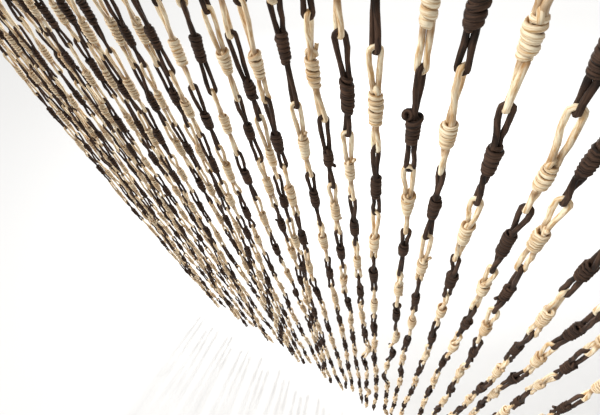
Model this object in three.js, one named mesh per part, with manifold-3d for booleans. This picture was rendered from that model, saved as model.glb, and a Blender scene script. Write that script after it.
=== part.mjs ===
import * as THREE from 'three';
import { mergeVertices } from 'three/addons/utils/BufferGeometryUtils.js';
import Module from 'manifold-3d';

// Knotted door curtain, in millimetres: Z up, X along the curtain, Y through it.
// The origin is the middle of the heading's top edge, and everything hangs below it.

// Heading strip
const curtainWidth = 900;
const headingHeight = 25;
const headingThickness = 4;

// Strands: chains of knotted cord links, side by side under the heading
const strandCount = 38;
const strandSpacing = 23.7;
const linksPerStrand = 25;
const linkPitch = 78;
const rootLength = 25;

// Thicknesses, each the diameter of the round form that a three-sided strand stands for
const rootDiameter = 3.2;
const pinchDiameter = 6;
const knotDiameter = 9.8;
const lastLoopDiameter = 8;
const lastLoopTip = 10;

// A triangle with corners on this share of the diameter is as wide, on average, as the round form
const cornerShare = 0.58;
const strandSides = 3;
const turnPerStrand = 0.7;

// Slow waver of a strand that has been handled: it grows as the square of the depth, up to its free end
const waver = { alongX: 6, alongY: 8, waveX: 210, waveY: 260, stepX: 2.1, stepY: 1.3 };

// Hand-tied unevenness of the strands from the left end: how far each hangs low and sits aside
const handTied = [
  { strand: 19, low: -3, aside: -5 },
  { strand: 20, low: 3, aside: -1 },
  { strand: 21, low: 2, aside: 3 },
  { strand: 22, low: 2, aside: 5 },
  { strand: 23, low: 16, aside: 2 },
  { strand: 24, low: -10, aside: -3 },
  { strand: 25, low: -16, aside: 2 },
  { strand: 26, low: -10, aside: 1 },
  { strand: 27, low: -1, aside: -2 },
  { strand: 28, low: 4, aside: -4 },
  { strand: 29, low: 8, aside: 2 },
  { strand: 30, low: 2, aside: 0 },
  { strand: 31, low: 18, aside: -0.5 },
  { strand: 32, low: 12, aside: 5 },
];

// The other strands vary in the same range
const variation = { low: 8, lowStep: 2.4, aside: 2.5, asideStep: 1.7 };

const cordMaterial = new THREE.MeshStandardMaterial({ color: 0xc9aa78, roughness: 0.75, metalness: 0 });

function unevenness(strand) {
  const known = handTied.find((row) => row.strand === strand);
  if (known) {
    return known;
  }
  return {
    low: variation.low * Math.sin(strand * variation.lowStep),
    aside: variation.aside * Math.sin(strand * variation.asideStep),
  };
}

function strandPlace(strand) {
  const uneven = unevenness(strand);
  const fromMiddle = strand - (strandCount - 1) / 2;
  return { x: fromMiddle * strandSpacing + uneven.aside, low: uneven.low };
}

// Half outline of one strand, from its free end up into the heading: distance from the axis, and height
function strandOutline(low) {
  const corner = (diameter) => diameter * cornerShare;
  const firstLinkTop = -(headingHeight + rootLength + low);
  const freeEnd = firstLinkTop - linksPerStrand * linkPitch;
  const outline = [
    new THREE.Vector2(0, freeEnd),
    new THREE.Vector2(corner(lastLoopDiameter), freeEnd + lastLoopTip),
  ];
  for (let link = linksPerStrand - 1; link >= 0; link -= 1) {
    const linkTop = firstLinkTop - link * linkPitch;
    outline.push(new THREE.Vector2(corner(knotDiameter), linkTop - linkPitch / 2));
    outline.push(new THREE.Vector2(corner(pinchDiameter), linkTop));
  }
  outline.push(new THREE.Vector2(corner(rootDiameter), -headingHeight));
  outline.push(new THREE.Vector2(corner(rootDiameter), -headingHeight / 2));
  outline.push(new THREE.Vector2(0, -headingHeight / 2));
  return outline;
}

// Bends a strand sideways, with no shift at the heading
function addWaver(geometry, strand) {
  const hangingHeight = linksPerStrand * linkPitch;
  const position = geometry.attributes.position;
  for (let i = 0; i < position.count; i += 1) {
    const below = Math.max(0, -headingHeight - position.getZ(i));
    const share = (below / hangingHeight) ** 2;
    const shiftX = waver.alongX * share * Math.sin(below / waver.waveX + strand * waver.stepX);
    const shiftY = waver.alongY * share * Math.sin(below / waver.waveY + strand * waver.stepY);
    position.setX(i, position.getX(i) + shiftX);
    position.setY(i, position.getY(i) + shiftY);
  }
}

function strandGeometry(strand) {
  const place = strandPlace(strand);
  const geometry = new THREE.LatheGeometry(strandOutline(place.low), strandSides, strand * turnPerStrand);
  geometry.rotateX(Math.PI / 2);
  addWaver(geometry, strand);
  geometry.translate(place.x, 0, 0);
  return geometry;
}

function headingGeometry() {
  const geometry = new THREE.BoxGeometry(curtainWidth, headingThickness, headingHeight);
  geometry.translate(0, 0, -headingHeight / 2);
  return geometry;
}

const wasm = await Module();
wasm.setup();

function toSolid(geometry) {
  const bare = geometry.clone();
  bare.deleteAttribute('normal');
  bare.deleteAttribute('uv');
  const merged = mergeVertices(bare);
  const mesh = new wasm.Mesh({
    numProp: 3,
    vertProperties: new Float32Array(merged.attributes.position.array),
    triVerts: new Uint32Array(merged.index.array),
  });
  return new wasm.Manifold(mesh);
}

function toGeometry(solid) {
  const mesh = solid.getMesh();
  const geometry = new THREE.BufferGeometry();
  geometry.setAttribute('position', new THREE.BufferAttribute(mesh.vertProperties, 3));
  geometry.setIndex(new THREE.BufferAttribute(mesh.triVerts, 1));
  geometry.computeVertexNormals();
  return geometry;
}

// The strands hang side by side with their roots joined into the heading strip
function knottedStrands() {
  let solid = toSolid(headingGeometry());
  for (let strand = 0; strand < strandCount; strand += 1) {
    solid = solid.add(toSolid(strandGeometry(strand)));
  }
  const mesh = new THREE.Mesh(toGeometry(solid), cordMaterial);
  mesh.name = 'knotted_strands';
  return mesh;
}

const curtain = new THREE.Group();
curtain.add(knottedStrands());

export default curtain;
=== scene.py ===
"""Visual model of a knotted door curtain in natural and brown cord.

Lengths are in metres. The origin is the middle of the heading tape's top edge, X runs
along the curtain, -Y is its front and the strands hang along -Z. Strands are counted
from the left end and links from the heading, both from 0.
"""

import logging
import math
from collections.abc import Iterator
from dataclasses import dataclass, field
from enum import Enum

import bpy
import numpy as np
from mathutils import Matrix, Vector


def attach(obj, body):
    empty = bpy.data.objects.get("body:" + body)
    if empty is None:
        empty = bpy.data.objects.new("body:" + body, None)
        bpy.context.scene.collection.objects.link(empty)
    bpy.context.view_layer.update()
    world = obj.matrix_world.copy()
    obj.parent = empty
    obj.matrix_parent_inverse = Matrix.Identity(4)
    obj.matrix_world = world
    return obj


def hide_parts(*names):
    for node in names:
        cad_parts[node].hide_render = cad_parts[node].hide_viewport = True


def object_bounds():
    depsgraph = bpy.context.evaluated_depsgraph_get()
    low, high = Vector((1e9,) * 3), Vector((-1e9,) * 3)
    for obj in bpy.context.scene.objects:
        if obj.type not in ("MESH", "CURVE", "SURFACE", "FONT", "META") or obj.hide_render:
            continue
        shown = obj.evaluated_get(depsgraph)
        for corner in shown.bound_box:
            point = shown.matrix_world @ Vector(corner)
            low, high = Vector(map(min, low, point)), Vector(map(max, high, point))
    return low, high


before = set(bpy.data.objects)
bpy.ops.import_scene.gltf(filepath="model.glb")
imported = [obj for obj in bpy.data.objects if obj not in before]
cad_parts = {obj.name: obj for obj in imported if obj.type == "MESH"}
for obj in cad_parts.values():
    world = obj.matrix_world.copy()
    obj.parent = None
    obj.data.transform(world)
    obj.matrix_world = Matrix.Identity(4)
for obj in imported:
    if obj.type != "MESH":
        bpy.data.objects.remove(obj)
CAD_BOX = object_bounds()

LOG = logging.getLogger("curtain")
BODY = "root"
CAD_NODE = "knotted_strands"
UV_MAP = "cord_uv"
# Point attribute that carries painted shade where cords press together
CREVICE_SHADE = "crevice"
MM = 0.001
FULL_TURN = 2 * math.pi
QUARTER_TURN = math.pi / 2
UPWARDS = (0.0, 0.0, 1.0)

# Legs of a link are numbered 0 and 1, and this stands for neither of them
NO_LEG = 2

Colour = tuple[float, float, float]
Place = tuple[float, float, float]
Range = tuple[float, float]


class CordColour(Enum):
    """The two cords that the links are tied from; the value names the record's slot."""

    NATURAL = "natural_cord"
    BROWN = "brown_cord"


class Section(Enum):
    """The outline of a swept cord: its corners in degrees, with 90 on the outside of a wrap."""

    ROUND = (30, 90, 150, 210, 270, 330)
    ROUND_FINE = (0, 45, 90, 135, 180, 225, 270, 315)
    WRAP = (24, 90, 156, 270)
    WRAP_FINE = (14, 50, 90, 130, 166, 270)

    @property
    def is_wrap(self) -> bool:
        """True for a cord that lies flattened against others."""
        return self in (Section.WRAP, Section.WRAP_FINE)


class Seen(Enum):
    """How a loop looks from the photograph's side: its plane's turn in degrees from open."""

    OPEN = 0.0
    HALF = 48.0
    RIBBON = 62.0
    LINE = 84.0


class KnotForm(Enum):
    """What stands out on a knot."""

    PLAIN = "plain"
    CROSSED = "crossed"
    HEAD = "head"
    CONE = "cone"
    BULGE = "bulge"
    END_HIGH = "end_high"
    END_LOW = "end_low"

    @property
    def is_common(self) -> bool:
        """True for a form that knots further away are tied in too."""
        return self not in (KnotForm.CONE, KnotForm.BULGE)

    @property
    def has_head(self) -> bool:
        """True if a slanting turn of cord closes the knot's top."""
        return self in (KnotForm.HEAD, KnotForm.CONE, KnotForm.BULGE)

    @property
    def has_cut_end(self) -> bool:
        """True if a cut end of the cord sticks out."""
        return self in (KnotForm.END_HIGH, KnotForm.END_LOW)


class KnotPart(Enum):
    """The lengths of cord in a link; the value shifts each one's grain along the cord."""

    RING = 0
    COIL = 1
    HEAD = 2
    CUT_END = 3
    CROSSING = 4
    SLACK_COIL = 5


@dataclass(frozen=True)
class Fineness:
    """How many corners and steps a link is built with."""

    round_section: Section
    wrap_section: Section
    steps_per_wrap: int
    head_steps: int
    crossing_steps: int


CLOSE_UP = Fineness(Section.ROUND_FINE, Section.WRAP_FINE, 14, 14, 8)
FURTHER_AWAY = Fineness(Section.ROUND, Section.WRAP, 8, 9, 6)
CLOSE_STRANDS = range(19, 33)
CLOSE_LINKS = range(8, 16)


@dataclass(frozen=True)
class CordSizes:
    """Sizes that every link shares."""

    diameter: float = 3.7 * MM
    pitch: float = 78 * MM
    knot_radius: float = 5.0 * MM
    wrap_thickness: float = 3.0 * MM

    @property
    def radius(self) -> float:
        """Half the cord's diameter."""
        return self.diameter / 2


@dataclass(frozen=True)
class CurtainLayout:
    """Where the strands hang under the heading tape, as in the solid model."""

    strand_count: int = 38
    strand_spacing: float = 23.7 * MM
    links_per_strand: int = 25
    heading_height: float = 25 * MM
    root_length: float = 25 * MM
    waver_x: float = 6 * MM
    waver_y: float = 8 * MM
    wave_x: float = 210 * MM
    wave_y: float = 260 * MM
    wave_step_x: float = 2.1
    wave_step_y: float = 1.3
    low_range: float = 8 * MM
    low_step: float = 2.4
    aside_range: float = 2.5 * MM
    aside_step: float = 1.7

    def unevenness(self, strand: int) -> tuple[float, float]:
        """Hand-tied unevenness of one strand.

        Args:
            strand: The strand's number from the left end.

        Returns:
            How far the strand hangs low and how far it sits aside.
        """
        if strand in HAND_TIED:
            low, aside = HAND_TIED[strand]
            return low * MM, aside * MM
        low = self.low_range * math.sin(strand * self.low_step)
        return low, self.aside_range * math.sin(strand * self.aside_step)


@dataclass(frozen=True)
class HangScatter:
    """How unevenly links hang and turn: spreads in metres and radians, and chances."""

    aside: float = 0.6 * MM
    aside_growth: float = 2.2
    first_turn: float = 0.3
    edge_on_chance: float = 0.3
    quarter_turn_chance: float = 0.65
    turn_in_link: float = 0.3
    turn_to_next: float = 0.2


# Strands seen nearest in the photograph: low and aside, in millimetres
HAND_TIED: dict[int, tuple[float, float]] = {
    19: (-3, -5),
    20: (3, -1),
    21: (2, 3),
    22: (2, 5),
    23: (16, 2),
    24: (-10, -3),
    25: (-16, 2),
    26: (-10, 1),
    27: (-1, -2),
    28: (4, -4),
    29: (8, 2),
    30: (2, 0),
    31: (18, -0.5),
    32: (12, 5),
}

# Sway of the strands seen nearest: the first junction it tells of, and how far each one from there
# sits to the right in the photograph, in millimetres
SWAY: dict[int, tuple[int, tuple[float, ...]]] = {
    21: (11, (3.8,)),
    23: (11, (-3,)),
    27: (18, (3, -4)),
    28: (14, (-2.6, -2.1, -1.8, 0, 0, 3, 7, 8.7, 9.4, 10, 5)),
    29: (11, (-1.7, -2.2, 1.3, 1, 2.4, 4.5, 1.5, 0, -2.4, 2, -0.3, -2.7, -5, -9)),
    30: (14, (-0.3, -0.2, -0.1, -4.8, -6.6, -3.8, -5.9, -8.3, -7.6, -8.3, -8.3)),
}


@dataclass(frozen=True)
class SeenLink:
    """A link that shows well in the photograph.

    The upper loop and the knot are shares of the pitch, wraps counts the turns of the knot, and
    knot_aside is how far the knot sits to the right there, in metres.
    """

    upper: float
    knot: float
    above: Seen
    below: Seen
    form: KnotForm = KnotForm.PLAIN
    wraps: int = 7
    knot_aside: float = 0.0


# The nearest links, by strand and by link from the heading
SEEN_LINKS: dict[tuple[int, int], SeenLink] = {
    (30, 12): SeenLink(0.32, 0.37, Seen.RIBBON, Seen.HALF),
    (30, 13): SeenLink(0.46, 0.38, Seen.OPEN, Seen.OPEN, KnotForm.END_HIGH),
    (30, 14): SeenLink(0.44, 0.37, Seen.LINE, Seen.OPEN),
    (30, 15): SeenLink(0.25, 0.48, Seen.LINE, Seen.LINE),
    (30, 16): SeenLink(0.20, 0.48, Seen.LINE, Seen.OPEN),
    (29, 10): SeenLink(0.36, 0.36, Seen.OPEN, Seen.OPEN, wraps=5),
    (29, 11): SeenLink(0.41, 0.31, Seen.RIBBON, Seen.OPEN, KnotForm.BULGE, knot_aside=-0.5 * MM),
    (29, 12): SeenLink(0.37, 0.34, Seen.OPEN, Seen.LINE, KnotForm.CONE),
    (29, 13): SeenLink(0.25, 0.27, Seen.OPEN, Seen.RIBBON),
    (29, 14): SeenLink(0.28, 0.38, Seen.HALF, Seen.LINE, KnotForm.END_LOW),
    (29, 15): SeenLink(0.17, 0.48, Seen.OPEN, Seen.LINE),
    (29, 16): SeenLink(0.20, 0.55, Seen.LINE, Seen.HALF, knot_aside=4.3 * MM),
    (29, 17): SeenLink(0.20, 0.50, Seen.HALF, Seen.OPEN, knot_aside=5 * MM),
    (29, 19): SeenLink(0.25, 0.50, Seen.LINE, Seen.LINE, knot_aside=-5.7 * MM),
    (28, 10): SeenLink(0.32, 0.32, Seen.OPEN, Seen.HALF),
    (28, 11): SeenLink(0.31, 0.43, Seen.OPEN, Seen.HALF, KnotForm.CROSSED),
    (28, 12): SeenLink(0.37, 0.37, Seen.HALF, Seen.OPEN),
    (28, 13): SeenLink(0.48, 0.34, Seen.HALF, Seen.OPEN, KnotForm.HEAD),
    (28, 14): SeenLink(0.30, 0.42, Seen.LINE, Seen.OPEN),
    (28, 15): SeenLink(0.28, 0.55, Seen.LINE, Seen.LINE),
    (27, 10): SeenLink(0.36, 0.38, Seen.OPEN, Seen.RIBBON),
    (27, 11): SeenLink(0.34, 0.44, Seen.OPEN, Seen.HALF, knot_aside=2.4 * MM),
    (27, 12): SeenLink(0.37, 0.33, Seen.OPEN, Seen.RIBBON, KnotForm.END_HIGH),
    (27, 13): SeenLink(0.40, 0.42, Seen.HALF, Seen.RIBBON),
    (27, 14): SeenLink(0.34, 0.40, Seen.HALF, Seen.OPEN),
    (27, 18): SeenLink(0.34, 0.34, Seen.HALF, Seen.HALF, knot_aside=7.8 * MM),
    (27, 22): SeenLink(0.30, 0.42, Seen.LINE, Seen.LINE, knot_aside=7 * MM),
    (26, 10): SeenLink(0.36, 0.36, Seen.HALF, Seen.OPEN),
    (26, 11): SeenLink(0.28, 0.40, Seen.RIBBON, Seen.HALF, KnotForm.END_HIGH, wraps=6, knot_aside=-2.4 * MM),
    (26, 12): SeenLink(0.40, 0.29, Seen.OPEN, Seen.RIBBON, KnotForm.END_LOW),
    (26, 13): SeenLink(0.32, 0.39, Seen.OPEN, Seen.HALF, KnotForm.END_LOW),
    (26, 14): SeenLink(0.36, 0.40, Seen.OPEN, Seen.LINE),
    (25, 11): SeenLink(0.24, 0.33, Seen.OPEN, Seen.RIBBON),
    (25, 12): SeenLink(0.36, 0.38, Seen.OPEN, Seen.RIBBON, KnotForm.END_HIGH),
    (25, 13): SeenLink(0.27, 0.37, Seen.OPEN, Seen.LINE),
    (25, 14): SeenLink(0.30, 0.42, Seen.HALF, Seen.LINE, KnotForm.HEAD),
    (24, 11): SeenLink(0.46, 0.29, Seen.RIBBON, Seen.OPEN, KnotForm.HEAD),
    (24, 12): SeenLink(0.41, 0.37, Seen.HALF, Seen.OPEN),
    (24, 13): SeenLink(0.37, 0.42, Seen.LINE, Seen.OPEN, KnotForm.HEAD),
    (24, 14): SeenLink(0.42, 0.38, Seen.RIBBON, Seen.HALF, KnotForm.END_LOW),
    (23, 10): SeenLink(0.38, 0.32, Seen.OPEN, Seen.RIBBON),
    (23, 11): SeenLink(0.48, 0.27, Seen.OPEN, Seen.RIBBON, KnotForm.END_LOW),
    (23, 12): SeenLink(0.43, 0.39, Seen.OPEN, Seen.LINE),
    (23, 13): SeenLink(0.40, 0.27, Seen.OPEN, Seen.LINE),
    (22, 11): SeenLink(0.41, 0.30, Seen.OPEN, Seen.RIBBON, KnotForm.CONE),
    (22, 12): SeenLink(0.35, 0.28, Seen.HALF, Seen.OPEN),
    (22, 13): SeenLink(0.36, 0.36, Seen.HALF, Seen.OPEN, KnotForm.END_HIGH),
    (21, 11): SeenLink(0.31, 0.32, Seen.LINE, Seen.OPEN, KnotForm.HEAD),
    (21, 12): SeenLink(0.30, 0.36, Seen.LINE, Seen.RIBBON),
    (20, 11): SeenLink(0.36, 0.38, Seen.RIBBON, Seen.LINE),
    (20, 12): SeenLink(0.36, 0.32, Seen.OPEN, Seen.RIBBON),
    (19, 11): SeenLink(0.36, 0.34, Seen.RIBBON, Seen.OPEN),
    (19, 12): SeenLink(0.36, 0.32, Seen.LINE, Seen.RIBBON),
}


@dataclass
class CordMesh:
    """Closed cord tubes gathered into one mesh.

    A wrap gets painted shade where it faces the core or its neighbours: wrap_shade is how
    much painted shade its sides get, and wrap_fade how fast that fades towards its outside.
    """

    wrap_shade: float = 0.95
    wrap_fade: float = 1.15
    points: list[np.ndarray] = field(default_factory=list)
    quads: list[np.ndarray] = field(default_factory=list)
    caps: list[list[int]] = field(default_factory=list)
    quad_uvs: list[np.ndarray] = field(default_factory=list)
    crevice_shades: list[np.ndarray] = field(default_factory=list)
    size: int = 0

    def add_tube(
        self,
        path: np.ndarray,
        across: np.ndarray,
        half_width: np.ndarray | float,
        half_depth: np.ndarray | float,
        section: Section,
        crevice: np.ndarray | float = 0.0,
        closed: bool = False,
        start: float = 0.0,
    ) -> None:
        """Sweeps a cord section along a path.

        Args:
            path: Centre points, one a row.
            across: Direction of the section's width at each point.
            half_width: Half the section's width, along across.
            half_depth: Half the section's depth, square to across.
            section: The section's outline.
            crevice: Painted shade at each point, for how deep it lies between its neighbours, 0 to 1.
            closed: True if the path runs back into its first point.
            start: Length along the cord at the first point, for its grain.
        """
        count, sides = len(path), len(section.value)
        corners_at = np.radians(section.value)
        side, depth = self.section_axes(path, across, closed)
        wide = np.broadcast_to(half_width, count)[:, None] * np.cos(corners_at)[None, :]
        deep = np.broadcast_to(half_depth, count)[:, None] * np.sin(corners_at)[None, :]
        rings = path[:, None, :] + wide[..., None] * side[:, None, :] + deep[..., None] * depth[:, None, :]
        self.points.append(rings.reshape(-1, 3))

        # Painted shade at each corner: the given amount, and on a wrap more on the sides and inside that
        # face other cords
        painted_shade = np.broadcast_to(crevice, count)[:, None] * np.ones(sides)[None, :]
        if section.is_wrap:
            facing_in = self.wrap_shade - self.wrap_fade * np.sin(corners_at)
            painted_shade = np.clip(painted_shade + np.clip(facing_in, 0, 1)[None, :], 0, 1)
        self.crevice_shades.append(painted_shade.reshape(-1))

        spans = count if closed else count - 1
        self.add_quads(count, sides, spans)
        self.add_grain(path, sides, spans, start)
        if not closed:
            first_ring = [self.size + s for s in range(sides)]
            end_ring = [self.size + (count - 1) * sides + s for s in range(sides)]
            self.caps.append(first_ring)
            self.caps.append(end_ring[::-1])
        self.size += count * sides

    @staticmethod
    def section_axes(path: np.ndarray, across: np.ndarray, closed: bool) -> tuple[np.ndarray, np.ndarray]:
        """Squares the section to the path at each point.

        Args:
            path: Centre points, one a row.
            across: Wished direction of the section's width at each point.
            closed: True if the path runs back into its first point.

        Returns:
            Directions of the section's width and of its depth, one a row.
        """
        if closed:
            tangent = np.roll(path, -1, axis=0) - np.roll(path, 1, axis=0)
        else:
            tangent = np.gradient(path, axis=0)
        tangent /= np.linalg.norm(tangent, axis=1, keepdims=True)
        side = across - (across * tangent).sum(axis=1, keepdims=True) * tangent
        side /= np.linalg.norm(side, axis=1, keepdims=True)
        return side, np.cross(tangent, side)

    def add_quads(self, count: int, sides: int, spans: int) -> None:
        """Joins neighbouring rings of corners with four-sided faces.

        Args:
            count: Number of rings.
            sides: Corners in a ring.
            spans: Number of ring pairs to join.
        """
        ring = np.arange(spans)[:, None]
        spoke = np.arange(sides)[None, :]
        next_ring = (ring + 1) % count
        next_spoke = (spoke + 1) % sides
        corners = np.stack(
            [
                ring * sides + spoke,
                ring * sides + next_spoke,
                next_ring * sides + next_spoke,
                next_ring * sides + spoke,
            ],
            axis=-1,
        ).reshape(-1, 4)
        self.quads.append(corners[:, ::-1] + self.size)

    def add_grain(self, path: np.ndarray, sides: int, spans: int, start: float) -> None:
        """Lays the grain's map over the newest faces: along the cord and around it.

        Args:
            path: Centre points, one a row.
            sides: Corners in a ring.
            spans: Number of ring pairs that are joined.
            start: Length along the cord at the first point.
        """
        steps = np.linalg.norm(np.diff(path, axis=0, append=path[:1]), axis=1)
        along = start + np.concatenate([[0.0], np.cumsum(steps)])
        low = along[:spans][:, None] * np.ones(sides)[None, :]
        high = along[1 : spans + 1][:, None] * np.ones(sides)[None, :]
        left = np.arange(sides)[None, :] / sides * np.ones(spans)[:, None]
        right = left + 1 / sides
        uvs = np.stack(
            [
                np.stack([high, left], axis=-1),
                np.stack([high, right], axis=-1),
                np.stack([low, right], axis=-1),
                np.stack([low, left], axis=-1),
            ],
            axis=2,
        )
        self.quad_uvs.append(uvs.reshape(-1, 4, 2))

    def build(self, name: str) -> bpy.types.Object:
        """Makes the Blender object.

        Args:
            name: The piece's name.

        Returns:
            The new object, linked to the scene.
        """
        points = np.concatenate(self.points)
        quads = np.concatenate(self.quads)
        cap_corners = np.array([c for cap in self.caps for c in cap], dtype=np.int32)
        cap_sizes = np.array([len(cap) for cap in self.caps], dtype=np.int32)
        corners = np.concatenate([quads.reshape(-1), cap_corners]).astype(np.int32)
        sizes = np.concatenate([np.full(len(quads), 4, dtype=np.int32), cap_sizes])
        starts = np.concatenate([[0], np.cumsum(sizes)[:-1]]).astype(np.int32)

        mesh = bpy.data.meshes.new(name)
        mesh.vertices.add(len(points))
        mesh.vertices.foreach_set("co", points.astype(np.float32).reshape(-1))
        mesh.loops.add(len(corners))
        mesh.loops.foreach_set("vertex_index", corners)
        mesh.polygons.add(len(sizes))
        mesh.polygons.foreach_set("loop_start", starts)
        mesh.polygons.foreach_set("loop_total", sizes)
        mesh.update(calc_edges=True)
        mesh.polygons.foreach_set("use_smooth", np.ones(len(sizes), dtype=bool))

        quad_uvs = np.concatenate(self.quad_uvs).reshape(-1, 2)
        cap_uvs = np.zeros((len(cap_corners), 2))
        uv_layer = mesh.uv_layers.new(name=UV_MAP)
        uv_layer.data.foreach_set("uv", np.concatenate([quad_uvs, cap_uvs]).astype(np.float32).reshape(-1))
        crevice = mesh.attributes.new(CREVICE_SHADE, "FLOAT", "POINT")
        crevice.data.foreach_set("value", np.concatenate(self.crevice_shades).astype(np.float32))
        mesh.validate()

        piece = bpy.data.objects.new(name, mesh)
        bpy.context.scene.collection.objects.link(piece)
        return piece


@dataclass(frozen=True)
class LinkRanges:
    """Ranges that each link's own sizes are drawn from.

    Shares come first, then lengths in metres and then angles in radians.
    """

    upper_share: Range = (0.30, 0.43)
    knot_share: Range = (0.29, 0.41)
    knot_size: Range = (0.90, 1.07)
    taper: Range = (0.0, 0.16)
    head_taper: Range = (0.04, 0.18)
    cone_taper: Range = (0.2, 0.36)
    widest: Range = (0.2, 0.65)
    wrap_width: Range = (0.72, 1.28)
    wrap_size: Range = (0.88, 1.07)
    lump_share: Range = (0.0, 0.5)
    upper_width: Range = (2.7 * MM, 3.9 * MM)
    lower_width: Range = (2.2 * MM, 3.4 * MM)
    wrap_pitch: Range = (3.4 * MM, 4.5 * MM)
    lump: Range = (0.3 * MM, 1.6 * MM)
    leg_wave: Range = (-0.5 * MM, 0.5 * MM)
    bow: Range = (-1.0 * MM, 1.0 * MM)
    grain_start: Range = (0, 20)
    wrap_tilt: Range = (-0.2, 0.2)
    coil_tilt: Range = (-0.3, 0.3)
    leg_turn: Range = (0.3, 1.1)
    seen_end_turn: Range = (-0.5, 0.5)
    around: Range = (0, FULL_TURN)


@dataclass(frozen=True)
class RingShape:
    """How the cord ring of a link runs.

    The first three distances count in cord radii. A leg's stations are shares of the loop's
    length, and openness goes from 0 at the knot to 1 at the loop's full width.
    """

    past_junction: float = 0.95
    at_knot: float = 1.02
    inside_knot: float = 0.9
    over_knot: float = 0.6
    sinking_in: float = 0.95
    sinking_depth: float = 3.5 * MM
    deepest_share: float = 0.6
    upper_end_degrees: tuple[float, ...] = (28, 58, 90)
    upper_end_fullness: float = 0.96
    upper_stations: tuple[float, ...] = (0.36, 0.68, 0.96)
    upper_openness: tuple[float, float] = (0.78, 0.28)
    lower_end_degrees: tuple[float, ...] = (90, 60, 30)
    lower_stations: tuple[float, ...] = (0.3, 0.62)
    lower_openness: float = 0.35
    lower_fullness: float = 0.85
    upper_turn_starts: float = 0.4
    lower_turn_ends: float = 0.6
    seen_leg_turn: float = 0.45
    # Painted shade on the ring where it goes into and comes out of the knot, and how far along it reaches
    shade: float = 0.6
    shade_reach: float = 3 * MM
    flattening: float = 0.02
    unevenness: float = 0.09
    unevenness_step: float = 1.9


@dataclass(frozen=True)
class CoilShape:
    """How the wraps of a knot lie, in shares of its length, of its radius or of a wrap."""

    fewest_wraps: int = 4
    end_rounding: float = 0.2
    end_sharpness: int = 5
    taper_reach: float = 0.7
    rise_per_wrap: float = 1.15
    fall_per_wrap: float = 2.2
    core: float = 0.35
    lump_reach: float = 0.17
    end_inset: float = 0.45
    touching_half: float = 0.5
    widest_half: float = 1.25
    width_limits: Range = (0.85, 1.25)
    tucked_width: float = 0.6
    # Wraps near the coil's ends get less painted shade, as no cord lies beyond them: within this many wraps,
    # by this much
    end_unshaded_wraps: float = 1.2
    end_shade_cut: float = 0.6


@dataclass(frozen=True)
class HeadShape:
    """The slanting turn on a knot's top: angles in radians, radii as shares of the knot's."""

    widest: float = 0.3
    cone_widest: float = 0.12
    cone_size: float = 1.1
    sweep: float = 5.4
    lead_in: float = 0.4
    ends: Range = (0.03, 0.97)
    rise_power: float = 0.6
    sunk_radius: float = 0.3
    standing_out: float = 0.52
    slant: float = 2.2 * MM
    slant_turn: float = 1.6
    drop: float = 3.5 * MM
    half_width: float = 1.1
    half_depth: float = 1.05


@dataclass(frozen=True)
class CrossingShape:
    """The cord that crosses a knot's top."""

    reach: float = 0.72
    inset: float = 0.4 * MM
    drop: float = 4.0 * MM
    drop_power: float = 2.2
    twist: float = 0.35
    thickness: float = 0.85
    # Painted shade all along this cord
    shade: float = 0.1


@dataclass(frozen=True)
class SlackCoilShape:
    """A small coil of slack cord beside a knot's top; its axis is left, viewer and up."""

    turns: float = 2.2
    steps: int = 30
    first_turn: float = 0.6
    radius: float = 2.2 * MM
    length: float = 5.5 * MM
    axis: Place = (0.45, 0.7, 0.55)
    to_left: float = 3.4 * MM
    to_viewer: float = 0.8 * MM
    above_knot: float = 1.6 * MM
    thickness: float = 0.92
    # Painted shade all along this cord
    shade: float = 0.1


@dataclass(frozen=True)
class CutEndShape:
    """A short cut end that sticks out of a knot."""

    length: Range = (1.6 * MM, 3.6 * MM)
    lean: Range = (0.2, 0.9)
    hidden_length: float = 1.5 * MM
    below_top: float = 1.5 * MM
    above_end: float = 2.5 * MM
    depth: float = 0.66
    thickness: tuple[float, ...] = (0.8, 0.85, 0.8)
    # Painted shade along the cut end, darkest where it comes out of the knot
    shade: tuple[float, ...] = (0.9, 0.2, 0.0)


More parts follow.
